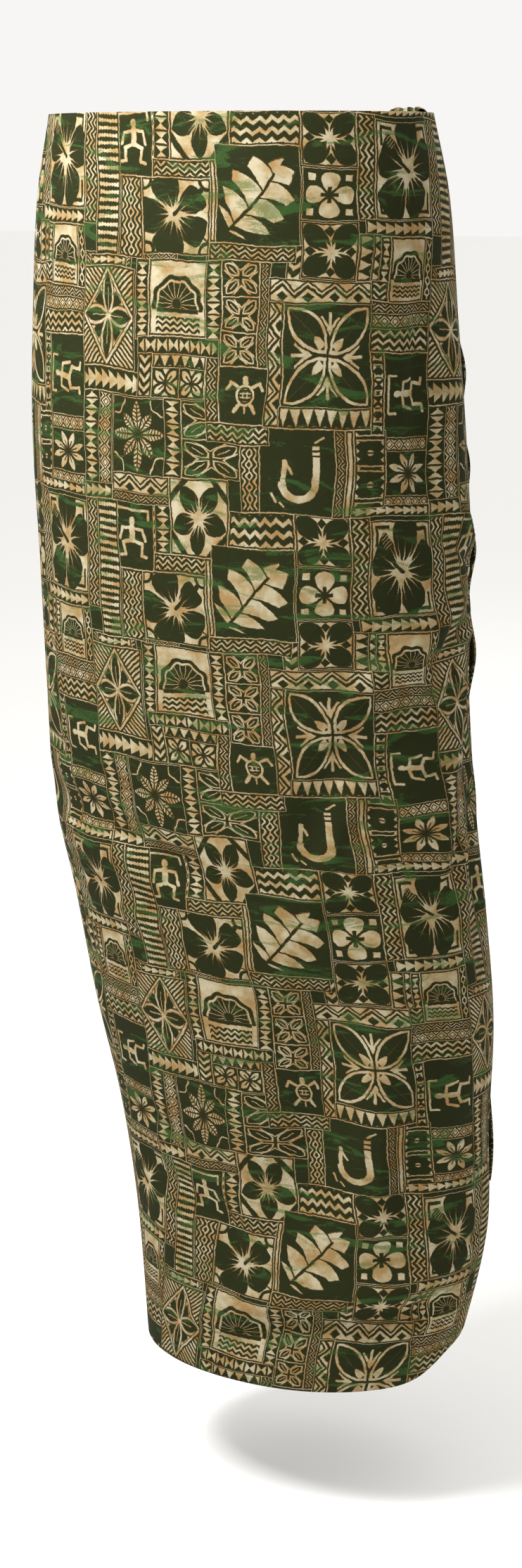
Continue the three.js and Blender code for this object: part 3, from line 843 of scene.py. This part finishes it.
def stand_out(angle, z):
    """How far the cloth's outer face stands off the smooth form: folds, the layer below and the ruffles."""
    lift = (wall + layer_gap) * smooth((climb["from"] - angle) / climb["over"])
    outer = angle < climb["from"]
    loose = np.where(outer, fold_height(loose_folds, angle, z), 0.0)
    edge = smooth(1 - (angle - free_angle) / ruffle_reach) ** 1.5
    ruffle = sum(out * np.exp(-((z - at) / half) ** 2) for at, half, out in ruffles)
    return fold_height(folds + creases, angle, z) + lift + loose + np.where(outer, edge * ruffle, 0.0)


def hem_height(angle):
    """The hem's height: level round the start of the cloth, and pulled up on the outer layer."""
    lifted = np.clip((pull["from"] - angle) / pull["over"], 0.0, 1.0)
    pulled = pull["rise"] * lifted * (0.4 + 0.6 * lifted)
    peeking = peek["rise"] * smooth((peek["from"] - angle) / peek["over"])
    return cubic_at(hem_line, 1, wrapped(angle)) + peeking + pulled


# How the print lies: from the direction of 22 degrees round the ring, sheared a little, and carried up with
# the pulled hem and into the pinch at the left.
print_from = 22.0
print_shear = 0.038
print_shift = np.array([(0, 0), (60, 0), (340, 16), (600, 12), (880, 14), (1000, 14)])
print_slack = np.array([(-60, 0), (350, 0), (610, 20), (880, 37), (1100, 48)])
print_pinch = {"rise": 18, "angle": 116, "half_angle": 22, "z": -405, "half_height": 62}


def cloth_grid(angles, rows):
    """Points of the wound cloth in millimetres and the places of its print: angles by rows to the hem."""
    angle = np.repeat(angles[:, None], rows + 1, axis=1)
    share = np.linspace(0.0, 1.0, rows + 1)[None, :]
    z = hem_height(angle) * share
    points = point_out(angle, z, stand_out(angle, z))
    smooth_points = point_out(angle, z, 0 * z)
    round_steps = np.linalg.norm(np.diff(smooth_points[:, :, :2], axis=0), axis=-1)
    run = np.concatenate([np.zeros((1, rows + 1)), np.cumsum(round_steps, axis=0)])
    at_start = np.array([np.interp(-print_from, -angles, run[:, row]) for row in range(rows + 1)])
    down_steps = np.linalg.norm(np.diff(smooth_points, axis=1), axis=-1)
    fall = np.concatenate([np.zeros((len(angles), 1)), np.cumsum(down_steps, axis=1)], axis=1)
    lift = (hem_height(angle) - cubic_at(hem_line, 1, wrapped(angle))) * smooth(share * 2.5)
    aside = (angle - print_pinch["angle"]) / print_pinch["half_angle"]
    above = (z - print_pinch["z"]) / print_pinch["half_height"]
    pinch = print_pinch["rise"] * np.exp(-aside ** 2 - above ** 2)
    u = at_start[None, :] - run + np.interp(-z, *print_shift.T)
    v = fall - print_shear * u + np.interp(fall, *print_slack.T) + lift + pinch
    return points, np.stack([u, v], axis=-1)


def grid_faces(columns, rows):
    """Quads of a grid of points, counted down each column in turn, that face outwards as angles fall."""
    corner = (np.arange(columns - 1)[:, None] * rows + np.arange(rows - 1)[None, :]).ravel()
    return np.stack([corner, corner + rows, corner + rows + 1, corner + 1], axis=1)


def clothe(piece, thickness):
    """Gives a one-sided surface its thickness inwards, with the cloth's wrong side on its inner face."""
    solid = piece.modifiers.new("thickness", "SOLIDIFY")
    solid.thickness = thickness
    solid.offset = -1.0
    solid.material_offset = 1
    solid.use_even_offset = True
    piece.data.materials.append(right_side)
    piece.data.materials.append(wrong_side)


# The under layer shows only below the raised hem, so its columns stand further apart, up to hidden_until.
hidden_until = 128.0
hidden_step, shown_step, cloth_rows = 3.4, 1.75, 192
hidden_angles = np.linspace(start_angle, hidden_until, int((start_angle - hidden_until) / hidden_step))
shown_angles = np.linspace(hidden_until, free_angle, int((hidden_until - free_angle) / shown_step))
cloth_angles = np.concatenate([hidden_angles[:-1], shown_angles])
points, places = cloth_grid(cloth_angles, cloth_rows)
faces = grid_faces(len(cloth_angles), cloth_rows + 1)
wound_cloth = new_mesh("wound_cloth", points.reshape(-1, 3) / 1000, faces, places.reshape(-1, 2) / 1000)
clothe(wound_cloth, cloth_thickness / 1000)
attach(wound_cloth, "root")
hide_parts("under_back_stretch", "under_left_stretch", "left_stretch", "front_stretch",
            "right_stretch", "back_stretch", "free_end")

# The free edge's narrow hem: the edge is rolled twice and stitched down, so it lies as a thin strip on the
# outer face.
hem_width, hem_rise, hem_thickness = 6.0, 0.9, 0.5
hem_share = np.linspace(0.0, 1.0, 9)
hem_angles = free_angle + hem_width / mm_per_degree * (1 - hem_share)
angle = np.repeat(hem_angles[:, None], 2 * cloth_rows + 1, axis=1)
z = hem_height(angle) * np.linspace(0.0, 1.0, 2 * cloth_rows + 1)[None, :]
rise = seam_gap + hem_rise * np.sqrt(1 - (2 * hem_share[:, None] - 1) ** 4 * 0.96)
strip_points = point_out(angle, z, stand_out(angle, z) + rise)
grid_points, grid_places = cloth_grid(np.concatenate([shown_angles[:-1], hem_angles]), 2 * cloth_rows)
strip = new_mesh("rolled_edge_hem", strip_points.reshape(-1, 3) / 1000,
                 grid_faces(len(hem_angles), 2 * cloth_rows + 1),
                 grid_places[-len(hem_angles):].reshape(-1, 2) / 1000)
clothe(strip, hem_thickness / 1000)
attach(strip, "root")
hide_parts("free_edge_hem")

# The tuck: the free end's upper corner is gathered, folded over the waist edge and pushed down inside it.
# Its print starts tuck_start along the cloth and is tuck_width wide before it is gathered.
tuck_from, tuck_to = -212.0, -231.0
tuck_depth, tuck_pleats, pleat_rise, tuck_crown = 46.0, 3, 1.2, 0.6
tuck_stand, tuck_start, tuck_width, tuck_columns = 0.7, 560, 120, 61
tuck_angles = np.linspace(tuck_from, tuck_to, tuck_columns)
tuck_share = np.linspace(0.0, 1.0, tuck_columns)


def tuck_points(angles, share):
    """An arch over the waist edge: up the outer face, round a half turn and down inside, pleated across."""
    outside = stand_out(angles, 0 * angles) - wall / 2 + tuck_stand
    inside = fold_height(folds, angles, 0 * angles) - wall - layer_gap - wall / 2
    pleat = np.sin(np.pi * tuck_pleats * share) ** 2
    crown = tuck_crown + pleat_rise * pleat
    arc = np.linspace(0.0, np.pi, 21)
    radius, centre = (outside - inside) / 2, (outside + inside) / 2
    out = centre[:, None] + (radius[:, None] + seam_gap) * np.cos(arc)
    up = crown[:, None] + (radius[:, None] + seam_gap) * np.sin(arc)
    leg = np.linspace(0.0, 1.0, 22)[1:]
    leg_z = crown[:, None] * (1 - leg) - tuck_depth * leg
    leg_angle = np.repeat(angles[:, None], len(leg), axis=1)
    leg_out = fold_height(folds, leg_angle, leg_z) - wall - layer_gap - wall / 2 - seam_gap
    foot_z = np.linspace(seam_gap, 1.0, 4)[None, :-1] * crown[:, None]
    foot_out = np.repeat(outside[:, None] + seam_gap, 3, axis=1)
    all_out = np.concatenate([foot_out, out, leg_out], axis=1)
    all_z = np.concatenate([foot_z, up, leg_z], axis=1)
    all_angle = np.repeat(angles[:, None], all_out.shape[1], axis=1)
    return point_out(all_angle, all_z, all_out)


arch = tuck_points(tuck_angles, tuck_share)
steps = np.linalg.norm(np.diff(arch, axis=1), axis=-1)
run = np.concatenate([np.zeros((tuck_columns, 1)), np.cumsum(steps, axis=1)], axis=1)
across = np.repeat(tuck_share[:, None] * tuck_width + tuck_start, arch.shape[1], axis=1)
tuck = new_mesh("waist_tuck_cloth", arch.reshape(-1, 3) / 1000,
                grid_faces(tuck_columns, arch.shape[1])[:, ::-1],
                np.stack([across, -run], axis=-1).reshape(-1, 2) / 1000)
clothe(tuck, cloth_thickness / 1000)
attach(tuck, "root")
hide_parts("waist_tuck")
